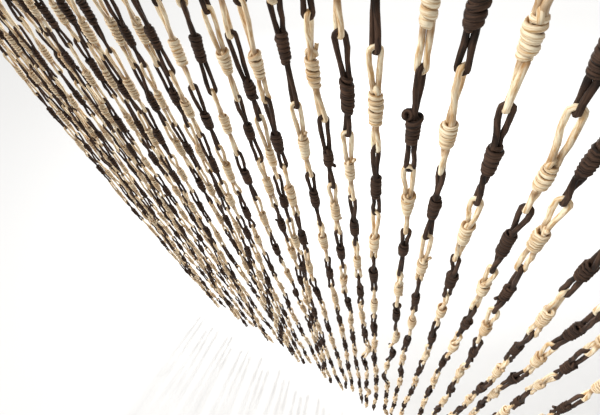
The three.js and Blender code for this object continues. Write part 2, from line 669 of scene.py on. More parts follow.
@dataclass
class Link:
    """One knotted link: an upper loop, a barrel knot and a lower loop of one cord."""

    top: np.ndarray
    bottom: np.ndarray
    upper_angle: float
    lower_angle: float
    rng: np.random.Generator
    sizes: CordSizes
    to_right: float
    seen: SeenLink | None = None
    fineness: Fineness = FURTHER_AWAY
    ranges: LinkRanges = LinkRanges()
    ring: RingShape = RingShape()
    coil: CoilShape = CoilShape()
    head: HeadShape = HeadShape()
    crossing: CrossingShape = CrossingShape()
    slack_coil: SlackCoilShape = SlackCoilShape()
    cut_end: CutEndShape = CutEndShape()

    def __post_init__(self) -> None:
        """Draws this link's own sizes and fits them to what is seen of it."""
        self.draw_lengths()
        self.draw_knot()
        self.draw_lie()
        self.form = self.seen.form if self.seen else self.drawn_form()
        if self.seen:
            self.fit_to_seen()
        self.fit_to_head()

    @property
    def radius(self) -> float:
        """The cord's radius."""
        return self.sizes.radius

    @property
    def knot_end(self) -> float:
        """How far the knot ends below the upper junction."""
        return self.upper_length + self.knot_length

    def grain(self, part: KnotPart) -> float:
        """Where the grain of one length of cord starts."""
        return self.grain_start + part.value

    def draw_lengths(self) -> None:
        """Draws how the pitch is shared out and how wide the loops are."""
        draw, ranges = self.rng.uniform, self.ranges
        shares = (draw(*ranges.upper_share), draw(*ranges.knot_share))
        if self.seen:
            shares = (self.seen.upper, self.seen.knot)
        self.upper_length = self.sizes.pitch * shares[0]
        self.knot_length = self.sizes.pitch * shares[1]
        self.lower_length = self.sizes.pitch - self.upper_length - self.knot_length
        self.upper_sides = (draw(*ranges.upper_width), draw(*ranges.upper_width))
        self.lower_sides = (draw(*ranges.lower_width), draw(*ranges.lower_width))

    def draw_knot(self) -> None:
        """Draws the knot's size, its wraps and the lump in them."""
        draw, ranges = self.rng.uniform, self.ranges
        self.knot_radius = self.sizes.knot_radius * draw(*ranges.knot_size)
        self.taper = draw(*ranges.taper)
        self.widest = draw(*ranges.widest)
        drawn_wraps = max(self.coil.fewest_wraps, round(self.knot_length / draw(*ranges.wrap_pitch)))
        self.wraps = self.seen.wraps if self.seen else drawn_wraps
        self.wrap_widths = draw(*ranges.wrap_width, self.wraps)
        self.wrap_sizes = draw(*ranges.wrap_size, self.wraps + 1)
        self.wrap_tilts = draw(*ranges.wrap_tilt, self.wraps + 1)
        self.lump_size = draw(*ranges.lump)
        self.lump_share = draw(*ranges.lump_share)
        self.lump_towards = draw(*ranges.around)

    def draw_lie(self) -> None:
        """Draws how the legs, the coil and the cut end lie."""
        draw, ranges = self.rng.uniform, self.ranges
        self.lies_over = int(draw(0, NO_LEG + 1))
        self.end_towards = draw(*ranges.around)
        self.leg_waves = draw(*ranges.leg_wave, (2, 4))
        self.leg_turns = draw(*ranges.leg_turn, 2) * self.rng.choice([-1, 1], 2)
        self.coil_start = draw(*ranges.around)
        self.coil_tilt = draw(*ranges.coil_tilt)
        self.tilt_towards = draw(*ranges.around)
        self.bow_x, self.bow_y = draw(*ranges.bow, 2)
        self.grain_start = draw(*ranges.grain_start)

    def drawn_form(self) -> KnotForm:
        """Picks what stands out on a knot that isn't seen close up."""
        forms = [form for form in KnotForm if form.is_common]
        return forms[int(self.rng.integers(len(forms)))]

    def fit_to_seen(self) -> None:
        """Closes the legs and turns the cut end as they are seen, and sets the knot aside."""
        self.end_towards = self.to_right + self.rng.uniform(*self.ranges.seen_end_turn)
        self.lies_over = NO_LEG
        closing = np.sign([self.upper_angle - self.to_right, self.lower_angle - self.to_right])
        self.leg_turns = self.ring.seen_leg_turn * closing
        self.bow_x = self.seen.knot_aside * math.cos(self.to_right)
        self.bow_y = self.seen.knot_aside * math.sin(self.to_right)

    def fit_to_head(self) -> None:
        """Sets the taper of a knot whose top is closed by a turn of cord."""
        if self.form is KnotForm.CONE:
            self.widest = self.head.cone_widest
            self.taper = self.rng.uniform(*self.ranges.cone_taper)
            self.knot_radius = self.sizes.knot_radius * self.head.cone_size
        elif self.form.has_head:
            self.widest = self.head.widest
            self.taper = self.rng.uniform(*self.ranges.head_taper)
            self.knot_radius = self.sizes.knot_radius

    def place(self, down: np.ndarray, radius: np.ndarray, angle: np.ndarray) -> np.ndarray:
        """Turns link sizes into points of the curtain.

        Args:
            down: Distance below the link's upper junction.
            radius: Distance from the link's axis.
            angle: Direction from the axis, from X towards Y.

        Returns:
            The points, one a row.
        """
        share = (down / self.sizes.pitch)[:, None]
        axis = self.top[None, :] + (self.bottom - self.top)[None, :] * share
        swell = np.sin(np.clip(share[:, 0], 0, 1) * math.pi)
        offset_x = radius * np.cos(angle) + self.bow_x * swell
        offset_y = radius * np.sin(angle) + self.bow_y * swell
        return axis + np.stack([offset_x, offset_y, np.zeros_like(offset_x)], axis=1)

    def upper_half(self, side: int) -> tuple[list[float], list[float]]:
        """One leg of the upper loop, from its end into the knot.

        Args:
            side: The leg's number.

        Returns:
            Distances down and distances from the axis.
        """
        shape, full, waves = self.ring, self.upper_sides[side], self.leg_waves[side]
        entry = self.radius * shape.at_knot
        over = self.knot_radius * shape.over_knot if self.lies_over == side else entry
        wide, narrow = shape.upper_openness
        turns = [math.radians(step) for step in shape.upper_end_degrees]
        down = [-self.radius * shape.past_junction + full * (1 - math.cos(turn)) for turn in turns]
        away = [full * shape.upper_end_fullness * math.sin(turn) for turn in turns]
        down += [station * self.upper_length for station in shape.upper_stations]
        away.append(wide * full + (1 - wide) * entry + waves[0])
        away.append(narrow * full + (1 - narrow) * over + waves[1])
        away.append(over)
        down.append(self.upper_length + shape.sinking_depth)
        away.append(over * shape.sinking_in)
        down.append(self.upper_length + shape.deepest_share * self.knot_length)
        away.append(self.radius * shape.inside_knot)
        return down, away

    def lower_half(self, side: int) -> tuple[list[float], list[float]]:
        """One leg of the lower loop, from the knot's end around the loop's end.

        Args:
            side: The leg's number.

        Returns:
            Distances down and distances from the axis.
        """
        shape, full, waves = self.ring, self.lower_sides[side], self.leg_waves[side]
        entry = self.radius * shape.at_knot
        opening = shape.lower_openness
        lowest = self.sizes.pitch + self.radius * shape.past_junction
        down = [self.knot_end]
        down += [self.knot_end + station * self.lower_length for station in shape.lower_stations]
        away = [entry, opening * full + (1 - opening) * entry + waves[2]]
        away.append(shape.lower_fullness * full + waves[3])
        for step in shape.lower_end_degrees:
            turn = math.radians(step)
            down.append(lowest - full * (1 - math.cos(turn)))
            away.append(full * math.sin(turn))
        return down, away

    def half_ring(self, side: int) -> tuple[list[float], list[float], list[float]]:
        """One leg of the link from its upper junction to its lower one.

        Args:
            side: The leg's number.

        Returns:
            Distances down, distances from the axis and angles, without the two ends.
        """
        upper_down, upper_away = self.upper_half(side)
        lower_down, lower_away = self.lower_half(side)
        down = upper_down + lower_down
        turns_at = [
            self.ring.upper_turn_starts * self.upper_length,
            self.upper_length,
            self.knot_end,
            self.knot_end + self.ring.lower_turn_ends * self.lower_length,
        ]
        at_top = self.upper_angle + self.leg_turns[0]
        at_end = self.lower_angle + self.leg_turns[1]
        angles = np.interp(down, turns_at, [self.upper_angle, at_top, at_end, self.lower_angle])
        return down, upper_away + lower_away, list(angles)

    def add_ring(self, mesh: CordMesh) -> None:
        """Adds the cord ring that forms both loops and the knot's core.

        Args:
            mesh: The mesh to add to.
        """
        shape = self.ring
        past = self.radius * shape.past_junction
        first_down, first_away, first_angle = self.half_ring(0)
        second_down, second_away, second_angle = self.half_ring(1)
        down = np.array([-past, *first_down, self.sizes.pitch + past, *second_down[::-1]])
        away = np.array([0.0, *first_away, 0.0, *[-a for a in second_away[::-1]]])
        angles = np.array([self.upper_angle, *first_angle, self.lower_angle, *second_angle[::-1]])
        path = self.place(down, away, angles)
        across = np.stack([-np.sin(angles), np.cos(angles), np.zeros_like(angles)], axis=1)
        # Painted shade on the ring near the knot's top and end
        near_top = np.exp(-(((down - self.upper_length) / shape.shade_reach) ** 2))
        near_end = np.exp(-(((down - self.knot_end) / shape.shade_reach) ** 2))
        crevice = shape.shade * np.maximum(near_top, near_end)
        waves = np.sin(np.arange(len(down)) * shape.unevenness_step + self.grain_start)
        wider = shape.flattening + shape.unevenness * waves
        wide, deep = self.radius * (1 + wider), self.radius * (1 - wider)
        section, start = self.fineness.round_section, self.grain(KnotPart.RING)
        mesh.add_tube(path, across, wide, deep, section, crevice, closed=True, start=start)

    def coil_radius(self, share: np.ndarray, turn: np.ndarray, tuck: np.ndarray) -> np.ndarray:
        """Distance of the wraps' middle from the knot's axis.

        Args:
            share: How far along the coil each point is.
            turn: Direction of each point from the axis.
            tuck: How far each point has come out of the knot's core.

        Returns:
            The distance at each point.
        """
        shape = self.coil
        size = np.interp(share * self.wraps, np.arange(self.wraps + 1), self.wrap_sizes)
        round_ends = 1 - shape.end_rounding * np.abs(2 * share - 1) ** shape.end_sharpness
        profile = round_ends * (1 - self.taper * ((share - self.widest) / shape.taper_reach) ** 2)
        barrel = (self.knot_radius - self.sizes.wrap_thickness / 2) * profile * size
        here = np.exp(-(((share - self.lump_share) / shape.lump_reach) ** 2))
        lump = self.lump_size * here * np.clip(np.cos(turn - self.lump_towards), 0, 1)
        return barrel * (shape.core + (1 - shape.core) * tuck) + lump

    def add_coil(self, mesh: CordMesh) -> None:
        """Adds the wraps of the barrel knot.

        Args:
            mesh: The mesh to add to.
        """
        shape = self.coil
        share = np.linspace(0, 1, self.wraps * self.fineness.steps_per_wrap + 1)
        wrap_at = share * self.wraps
        wrap_ends = np.arange(self.wraps + 1)
        turn = self.coil_start + wrap_at * FULL_TURN
        rise = wrap_at * shape.rise_per_wrap
        fall = (1 - share) * self.wraps * shape.fall_per_wrap
        tuck = np.clip(np.minimum(rise, fall), 0, 1)
        radius = self.coil_radius(share, turn, tuck)

        wrap_pitch = self.knot_length / self.wraps
        edges = np.concatenate([[0.0], np.cumsum(self.wrap_widths)]) / self.wrap_widths.sum()
        inset = wrap_pitch * shape.end_inset
        lower_edge = np.interp(wrap_at, wrap_ends, edges)
        down = self.upper_length + inset + lower_edge * (self.knot_length - 2 * inset)
        slant = self.coil_tilt + np.interp(wrap_at, wrap_ends, self.wrap_tilts)
        down = down + slant * radius * np.cos(turn - self.tilt_towards)
        path = self.place(down, radius, turn)
        across = np.broadcast_to(self.top - self.bottom, path.shape)

        width = np.interp(wrap_at - 0.5, np.arange(self.wraps), self.wrap_widths)
        widest_half = min(wrap_pitch * shape.touching_half, self.radius * shape.widest_half)
        tucked = shape.tucked_width + (1 - shape.tucked_width) * tuck
        half_width = widest_half * np.clip(width, *shape.width_limits) * tucked
        half_depth = self.sizes.wrap_thickness / 2
        # Less painted shade on the end wraps, which no cord lies beyond
        from_end = np.minimum(share, 1 - share) * self.wraps
        less_end_shade = -shape.end_shade_cut * np.clip(shape.end_unshaded_wraps - from_end, 0, 1)
        section, start = self.fineness.wrap_section, self.grain(KnotPart.COIL)
        mesh.add_tube(path, across, half_width, half_depth, section, less_end_shade, start=start)

    def add_head(self, mesh: CordMesh) -> None:
        """Adds the slanting turn that closes the knot at its upper end and stands out of it.

        Args:
            mesh: The mesh to add to.
        """
        shape = self.head
        share = np.linspace(0, 1, self.fineness.head_steps)
        hand = self.rng.choice([-1, 1])
        turn = self.tilt_towards + hand * (share * shape.sweep - shape.lead_in)
        lift = np.sin(np.clip(share, *shape.ends) * math.pi) ** shape.rise_power
        radius = self.knot_radius * (shape.sunk_radius + shape.standing_out * lift)
        slant = shape.slant * np.cos(share * shape.sweep - shape.slant_turn)
        path = self.place(self.upper_length + (slant + shape.drop * share), radius, turn)
        across = np.broadcast_to(hand * (self.top - self.bottom), path.shape)
        half_width, half_depth = self.radius * shape.half_width, self.radius * shape.half_depth
        section, start = self.fineness.wrap_section, self.grain(KnotPart.HEAD)
        mesh.add_tube(path, across, half_width, half_depth, section, start=start)

    def add_crossing(self, mesh: CordMesh) -> None:
        """Adds the cord that crosses the knot's top between the two legs.

        Args:
            mesh: The mesh to add to.
        """
        shape = self.crossing
        share = np.linspace(-1, 1, self.fineness.crossing_steps)
        radius = self.knot_radius * shape.reach * np.sin(share * QUARTER_TURN)
        down = self.upper_length + shape.inset + shape.drop * np.abs(share) ** shape.drop_power
        angle = self.upper_angle + QUARTER_TURN + shape.twist * share * np.sign(self.coil_tilt)
        path = self.place(down, radius, angle)
        across = np.broadcast_to([math.cos(self.upper_angle), math.sin(self.upper_angle), 0.0], path.shape)
        half = self.radius * shape.thickness
        section, start = self.fineness.round_section, self.grain(KnotPart.CROSSING)
        mesh.add_tube(path, across, half, half, section, shape.shade, start=start)

    def add_slack_coil(self, mesh: CordMesh) -> None:
        """Adds a small coil of slack cord that stands out beside the knot's top.

        Args:
            mesh: The mesh to add to.
        """
        shape = self.slack_coil
        share = np.linspace(0, 1, shape.steps)
        turn = share * shape.turns * FULL_TURN + shape.first_turn
        axis = Vector(shape.axis).normalized()
        first = axis.cross(Vector(UPWARDS)).normalized()
        second = axis.cross(first)
        ring = np.outer(np.cos(turn), first) + np.outer(np.sin(turn), second)
        local = shape.radius * ring + np.outer((share - 0.5) * shape.length, axis)
        to_left = local[:, 0] + shape.to_left
        to_viewer = local[:, 1] + shape.to_viewer
        down = self.upper_length - shape.above_knot - local[:, 2]
        angle = self.to_right + math.pi + np.arctan2(to_viewer, to_left)
        path = self.place(down, np.hypot(to_left, to_viewer), angle)
        left = np.array([-math.cos(self.to_right), -math.sin(self.to_right), 0.0])
        viewer = np.array([math.sin(self.to_right), -math.cos(self.to_right), 0.0])
        along_axis = axis[0] * left + axis[1] * viewer + axis[2] * np.array(UPWARDS)
        across = np.broadcast_to(along_axis, path.shape)
        half = self.radius * shape.thickness
        section, start = self.fineness.round_section, self.grain(KnotPart.SLACK_COIL)
        mesh.add_tube(path, across, half, half, section, shape.shade, start=start)

    def add_cut_end(self, mesh: CordMesh) -> None:
        """Adds the short cut end that sticks out of the knot, upwards or downwards.

        Args:
            mesh: The mesh to add to.
        """
        shape, high = self.cut_end, self.form is KnotForm.END_HIGH
        length = self.rng.uniform(*shape.length)
        lean = self.rng.uniform(*shape.lean)
        share = np.array([0.0, 0.5, 1.0])
        direction = -1 if high else 1
        start = self.upper_length + (shape.below_top if high else self.knot_length - shape.above_end)
        down = start + direction * share * (length + shape.hidden_length)
        radius = self.knot_radius * shape.depth + share * lean * length
        angle = self.end_towards
        path = self.place(down, radius, np.full(len(share), angle))
        across = np.broadcast_to([-math.sin(angle), math.cos(angle), 0.0], path.shape)
        # The cut end gets painted shade where it comes out of the knot
        half, crevice = self.radius * np.array(shape.thickness), np.array(shape.shade)
        section, start = self.fineness.round_section, self.grain(KnotPart.CUT_END)
        mesh.add_tube(path, across, half, half, section, crevice, start=start)

    def add_to(self, mesh: CordMesh) -> None:
        """Adds the whole link.

        Args:
            mesh: The mesh of this link's colour.
        """
        self.add_ring(mesh)
        self.add_coil(mesh)
        if self.form is not KnotForm.PLAIN:
            self.add_crossing(mesh)
        if self.form.has_head:
            self.add_head(mesh)
        if self.form is KnotForm.BULGE:
            self.add_slack_coil(mesh)
        if self.form.has_cut_end:
            self.add_cut_end(mesh)


@dataclass(frozen=True)
class RootShape:
    """The loop at a strand's top that is sewn into the tape; widths count in cord radii."""

    sewn_share: float = 0.8
    leg: float = 1.3
    loop: float = 1.5
    shoulder: float = 5 * MM
    end_height: float = 2.4 * MM
    end_turns: tuple[float, ...] = (1.4, 0.9, 0.45)
    past_junction: float = 0.95
    half_width: float = 0.95
    grain_start: Range = (0, 20)


@dataclass
class Strand:
    """A chain of links that hangs from the heading tape."""

    number: int
    layout: CurtainLayout
    sizes: CordSizes
    rng: np.random.Generator
    scatter: HangScatter = HangScatter()
    root: RootShape = RootShape()

    def __post_init__(self) -> None:
        """Finds where the strand hangs, and which way is to the right in the photograph."""
        low, aside = self.layout.unevenness(self.number)
        from_middle = self.number - (self.layout.strand_count - 1) / 2
        self.x = from_middle * self.layout.strand_spacing + aside
        self.first_depth = self.layout.heading_height + self.layout.root_length + low
        eye_x, eye_y = PhotoCamera.place[:2]
        self.to_right = math.atan2(-eye_y, self.x - eye_x) - QUARTER_TURN

    def junction(self, link: int) -> np.ndarray:
        """The point where a link hangs in the one above it.

        Args:
            link: The link's number from the heading.

        Returns:
            The point, on the strand's slowly wavering axis.
        """
        layout = self.layout
        depth = self.first_depth + link * self.sizes.pitch
        below = depth - layout.heading_height
        share = (below / (layout.links_per_strand * self.sizes.pitch)) ** 2
        shift_x = layout.waver_x * share * math.sin(below / layout.wave_x + self.number * layout.wave_step_x)
        shift_y = layout.waver_y * share * math.sin(below / layout.wave_y + self.number * layout.wave_step_y)
        return np.array([self.x + shift_x, shift_y, -depth])

    def colour(self, link: int) -> CordColour:
        """The cord of one link: colours alternate down the strand and from strand to strand."""
        return CordColour.BROWN if (self.number + link) % 2 == 0 else CordColour.NATURAL

    def fineness(self, link: int) -> Fineness:
        """How finely one link is built."""
        close = self.number in CLOSE_STRANDS and link in CLOSE_LINKS
        return CLOSE_UP if close else FURTHER_AWAY

    def add_root(self, mesh: CordMesh) -> None:
        """Adds the loop that is sewn into the tape and carries the first link.

        Args:
            mesh: The mesh of the root's colour.
        """
        shape, radius = self.root, self.sizes.radius
        end = self.junction(0)[2] - radius * shape.past_junction
        top = -shape.sewn_share * self.layout.heading_height
        leg, loop = shape.leg * radius, shape.loop * radius
        half = [(leg, top), (leg, 0.5 * (top + end)), (loop, end + shape.shoulder)]
        for turn in shape.end_turns:
            half.append((loop * math.sin(turn), end + shape.end_height * (1 - math.cos(turn))))
        outline = half + [(0.0, end)] + [(-x, z) for x, z in half[::-1]]
        path = np.array([[self.x + x, 0.0, z] for x, z in outline])
        across = np.broadcast_to([0.0, 1.0, 0.0], path.shape)
        start = self.rng.uniform(*shape.grain_start)
        mesh.add_tube(path, across, radius * shape.half_width, radius, Section.ROUND, start=start)

    def shifts(self, scattered: np.ndarray) -> np.ndarray:
        """Sets the junctions that are seen close up where they are seen.

        Args:
            scattered: How far each junction hangs from the strand's axis by chance.

        Returns:
            How far each junction hangs from the strand's axis, in X and Y.
        """
        for strand, link in SEEN_LINKS:
            if strand == self.number:
                scattered[link + 1] = 0
        first_told, sway = SWAY.get(self.number, (0, ()))
        right = np.array([math.cos(self.to_right), math.sin(self.to_right)])
        for step, aside in enumerate(sway):
            scattered[first_told + step] = aside * MM * right
        return scattered

    def links(self) -> Iterator[tuple[CordColour, Link]]:
        """Makes the links from the top down.

        Yields:
            Each link with its colour.
        """
        scatter, chance = self.scatter, self.rng
        scattered = chance.normal(0, scatter.aside, (self.layout.links_per_strand + 1, 2))
        scattered *= 1 + scatter.aside_growth * np.linspace(0, 1, len(scattered))[:, None] ** 2
        scattered[0] = 0
        angle = self.to_right + chance.normal(0, scatter.first_turn)
        if chance.random() < scatter.edge_on_chance:
            angle += QUARTER_TURN
        shifts = self.shifts(scattered)
        for link in range(self.layout.links_per_strand):
            seen = SEEN_LINKS.get((self.number, link))
            top, bottom = self.junction(link), self.junction(link + 1)
            top[:2] += shifts[link]
            bottom[:2] += shifts[link + 1]
            quarter = QUARTER_TURN if chance.random() < scatter.quarter_turn_chance else 0.0
            upper = angle
            lower = upper + quarter * chance.choice([-1, 1]) + chance.normal(0, scatter.turn_in_link)
            if seen:
                side = chance.choice([-1, 1])
                upper = self.to_right + side * math.radians(seen.above.value)
                lower = self.to_right - side * math.radians(seen.below.value)
            fineness = self.fineness(link)
            tied = Link(top, bottom, upper, lower, chance, self.sizes, self.to_right, seen, fineness)
            yield self.colour(link), tied
            angle = lower + QUARTER_TURN + chance.normal(0, scatter.turn_to_next)


@dataclass
class HeadingTape:
    """The doubled tape that carries the strands, folded over their roots and sewn."""

    width: float = 900 * MM
    height: float = 25 * MM
    thickness: float = 4 * MM
    inset: float = 0.1 * MM
    fold_steps: int = 7
    slit: float = 0.6 * MM
    slit_top: float = 4 * MM
    slit_bottom: float = 0.2 * MM
    edge_rounding: float = 0.4 * MM
    edge_share: float = 0.7
    sections: int = 121
    ripple: float = 0.1 * MM
    ripple_step: float = 31.0
    stitch_length: float = 3.4 * MM
    stitch_pitch: float = 5.0 * MM
    stitch_rows: tuple[float, ...] = (-6 * MM, -19 * MM)
    stitch_margin: float = 16 * MM
    stitch_stations: tuple[float, ...] = (-0.5, -0.25, 0.25, 0.5)
    stitch_rise: tuple[float, ...] = (-0.2 * MM, 0.12 * MM, 0.12 * MM, -0.2 * MM)
    stitch_slant: float = 0.6 * MM
    slant_step: float = 1.7
    slant_per_row: float = 900.0
    thread_half_width: float = 0.35 * MM
    thread_half_depth: float = 0.3 * MM

    @property
    def face_depth(self) -> float:
        """How far the tape's faces lie from its middle plane."""
        return self.thickness / 2 - self.inset

    def section(self) -> list[tuple[float, float]]:
        """The folded tape seen from its end.

        Returns:
            Depth and height of each corner.
        """
        half, slit, bottom = self.face_depth, self.slit / 2, -self.height
        turns = np.linspace(0, math.pi, self.fold_steps)
        fold = [(-half * math.cos(turn), -half + half * math.sin(turn)) for turn in turns]
        return [
            (-half, bottom + self.edge_rounding),
            (-half, -0.5 * self.height),
            *fold,
            (half, -0.5 * self.height),
            (half, bottom + self.edge_rounding),
            (self.edge_share * half, bottom),
            (slit, bottom + self.slit_bottom),
            (slit, -self.slit_top),
            (-slit, -self.slit_top),
            (-slit, bottom + self.slit_bottom),
            (-self.edge_share * half, bottom),
        ]

    def build_tape(self) -> bpy.types.Object:
        """Sweeps the folded section along the curtain, with a slight ripple.

        Returns:
            The tape, linked to the scene.
        """
        outline = self.section()
        count, size = self.sections, len(outline)
        points = []
        for x in np.linspace(-self.width / 2, self.width / 2, count):
            ripple = self.ripple * math.sin(x * self.ripple_step)
            points += [(x, y + ripple * (0.5 - z / self.height), z) for y, z in outline]
        faces: list[tuple[int, ...]] = [tuple(range(size))[::-1]]
        faces.append(tuple((count - 1) * size + k for k in range(size)))
        for here in range(0, (count - 1) * size, size):
            after = here + size
            for k in range(size):
                n = (k + 1) % size
                faces.append((here + k, here + n, after + n, after + k))
        mesh = bpy.data.meshes.new("heading_tape")
        mesh.from_pydata(points, [], faces)
        mesh.update()
        piece = bpy.data.objects.new("heading_tape", mesh)
        bpy.context.scene.collection.objects.link(piece)
        return piece

    def build_stitches(self) -> bpy.types.Object:
        """Sews two rows of running stitches through both faces of the tape.

        Returns:
            The stitches, linked to the scene.
        """
        thread = CordMesh()
        count = int((self.width - self.stitch_margin) / self.stitch_pitch)
        share = np.array(self.stitch_stations)
        for row in self.stitch_rows:
            for number in range(count):
                x = (number - (count - 1) / 2) * self.stitch_pitch
                slant = self.stitch_slant * math.sin(number * self.slant_step + row * self.slant_per_row)
                for face in (-1, 1):
                    rise = face * (self.face_depth + np.array(self.stitch_rise))
                    path = np.stack([x + share * self.stitch_length, rise, row + share * slant], axis=1)
                    across = np.broadcast_to([0.0, 0.0, -face], path.shape)
                    half_width, half_depth = self.thread_half_width, self.thread_half_depth
                    # The thread's wrap section gets painted shade on its sides and on the side against the
                    # tape
                    thread.add_tube(path, across, half_width, half_depth, Section.WRAP)
        return thread.build("heading_stitches")


class NodeKit:
    """Short ways to lay out shader nodes in one tree.

    A mix node also carries the sockets of its other kinds, so its colour ones go by number.
    """

    colour_mix_inputs: tuple[int, ...] = (0, 6, 7)
    colour_mix_output: int = 2

    def __init__(self, tree: bpy.types.NodeTree) -> None:
        """Keeps the tree that nodes are added to."""
        self.tree = tree

    def add(self, kind: str, **values: object) -> bpy.types.Node:
        """Adds a node.

        Args:
            kind: The node's type.
            values: Properties of the node, and inputs where the name is no property.

        Returns:
            The new node.
        """
        node = self.tree.nodes.new(kind)
        for name, value in values.items():
            if hasattr(node, name):
                setattr(node, name, value)
            else:
                node.inputs[name.replace("_", " ")].default_value = value
        return node

    def join(self, source: bpy.types.NodeSocket, target: bpy.types.NodeSocket) -> None:
        """Links an output to an input."""
        self.tree.links.new(source, target)

    def math(self, operation: str, first: object, second: object = None) -> bpy.types.NodeSocket:
        """Adds a math node.

        Args:
            operation: The math node's operation.
            first: A socket or a number.
            second: A socket or a number, where the operation takes one.

        Returns:
            The result's socket.
        """
        node = self.add("ShaderNodeMath", operation=operation)
        for slot, value in enumerate((first, second)):
            if isinstance(value, bpy.types.NodeSocket):
                self.join(value, node.inputs[slot])
            elif value is not None:
                node.inputs[slot].default_value = value
        return node.outputs[0]

    def blend(self, share: object, first: object, second: object) -> bpy.types.NodeSocket:
        """Mixes two colours.

        Args:
            share: How much of the second colour, as a socket or a number.
            first: A socket or a colour.
            second: A socket or a colour.

        Returns:
            The mixed colour's socket.
        """
        node = self.add("ShaderNodeMix", data_type="RGBA")
        for value, slot in zip((share, first, second), self.colour_mix_inputs):
            socket = node.inputs[slot]
            if isinstance(value, bpy.types.NodeSocket):
                self.join(value, socket)
            elif isinstance(value, tuple):
                socket.default_value = (*value, 1.0)
            else:
                socket.default_value = value
        return node.outputs[self.colour_mix_output]

    def stretch(self, value: bpy.types.NodeSocket, limits: Range) -> bpy.types.NodeSocket:
        """Stretches one part of a value's range to 0 to 1.

        Args:
            value: The value's socket.
            limits: What becomes 0 and what becomes 1.

        Returns:
            The stretched value's socket.
        """
        node = self.add("ShaderNodeMapRange", From_Min=limits[0], From_Max=limits[1])
        self.join(value, node.inputs[0])
        return node.outputs[0]


def new_group(name: str, inputs: dict[str, str], outputs: dict[str, str]) -> bpy.types.NodeTree:
    """Makes an empty shader node group.

    Args:
        name: The group's name.
        inputs: Socket kind by input name.
        outputs: Socket kind by output name.

    Returns:
        The group.
    """
    group = bpy.data.node_groups.new(name, "ShaderNodeTree")
    for side, sockets in (("INPUT", inputs), ("OUTPUT", outputs)):
        for label, kind in sockets.items():
            group.interface.new_socket(name=label, in_out=side, socket_type=kind)
    return group


@dataclass(frozen=True)
class Noise:
    """Settings of a noise texture."""

    scale: float
    detail: float
    roughness: float = 0.5

    def add(self, kit: NodeKit, place: bpy.types.NodeSocket) -> bpy.types.NodeSocket:
        """Adds the texture to a tree.

        Args:
            kit: The tree's kit.
            place: What the texture is laid out by.

        Returns:
            The noise's socket.
        """
        node = kit.add("ShaderNodeTexNoise", Scale=self.scale, Detail=self.detail, Roughness=self.roughness)
        kit.join(place, node.inputs["Vector"])
        return node.outputs[0]


class CordGrainGroup:
    """Fibres that run along a cord, with slow changes of tone."""

    name: str = "cord_grain"
    along_scale: float = 55.0
    fibre: Noise = Noise(1.6, 4.0, 0.65)
    tone: Noise = Noise(38.0, 2.0)
    fuzz: Noise = Noise(900.0, 2.0, 0.6)
    fuzz_share: float = 0.25

    @classmethod
    def tree(cls) -> bpy.types.NodeTree:
        """Makes the group on first use.

        Returns:
            The group.
        """
        if cls.name in bpy.data.node_groups:
            return bpy.data.node_groups[cls.name]
        number, vector = "NodeSocketFloat", "NodeSocketVector"
        group = new_group(
            cls.name,
            {"Cord": vector, "Place": vector, "Fineness": number, "Twist": number},
            {"Fibre": number, "Tone": number, "Height": number},
        )
        kit = NodeKit(group)
        source = kit.add("NodeGroupInput")
        split = kit.add("ShaderNodeSeparateXYZ")
        kit.join(source.outputs["Cord"], split.inputs[0])
        turns = kit.math("MULTIPLY", split.outputs[1], FULL_TURN)
        turns = kit.math("ADD", turns, kit.math("MULTIPLY", split.outputs[0], source.outputs["Twist"]))
        around = kit.add("ShaderNodeCombineXYZ")
        kit.join(kit.math("MULTIPLY", split.outputs[0], cls.along_scale), around.inputs[0])
        fineness = source.outputs["Fineness"]
        kit.join(kit.math("MULTIPLY", kit.math("COSINE", turns), fineness), around.inputs[1])
        kit.join(kit.math("MULTIPLY", kit.math("SINE", turns), fineness), around.inputs[2])
        fibre = cls.fibre.add(kit, around.outputs[0])
        tone = cls.tone.add(kit, source.outputs["Place"])
        fuzz = cls.fuzz.add(kit, source.outputs["Place"])
        height = kit.math("ADD", fibre, kit.math("MULTIPLY", fuzz, cls.fuzz_share))
        sink = kit.add("NodeGroupOutput")
        kit.join(fibre, sink.inputs["Fibre"])
        kit.join(tone, sink.inputs["Tone"])
        kit.join(height, sink.inputs["Height"])
        return group


class WeaveGroup:
    """Plain weave of a tape, from its own place along and up the tape."""

    name: str = "tape_weave"
    slub: Noise = Noise(120.0, 3.0, 0.6)

    @classmethod
    def tree(cls) -> bpy.types.NodeTree:
        """Makes the group on first use.

        Returns:
            The group.
        """
        if cls.name in bpy.data.node_groups:
            return bpy.data.node_groups[cls.name]
        number = "NodeSocketFloat"
        group = new_group(
            cls.name,
            {"Place": "NodeSocketVector", "Threads": number},
            {"Weave": number, "Slub": number},
        )
        kit = NodeKit(group)
        source = kit.add("NodeGroupInput")
        split = kit.add("ShaderNodeSeparateXYZ")
        kit.join(source.outputs["Place"], split.inputs[0])
        along = kit.math("MULTIPLY", split.outputs[0], source.outputs["Threads"])
        upward = kit.math("MULTIPLY", split.outputs[2], source.outputs["Threads"])
        warp = kit.math("SINE", along)
        weft = kit.math("SINE", upward)
        weave = kit.math("MULTIPLY", warp, weft)
        weave = kit.math("ADD", kit.math("MULTIPLY", weave, 0.5), 0.5)
        slub = cls.slub.add(kit, source.outputs["Place"])
        sink = kit.add("NodeGroupOutput")
        kit.join(weave, sink.inputs["Weave"])
        kit.join(slub, sink.inputs["Slub"])
        return group


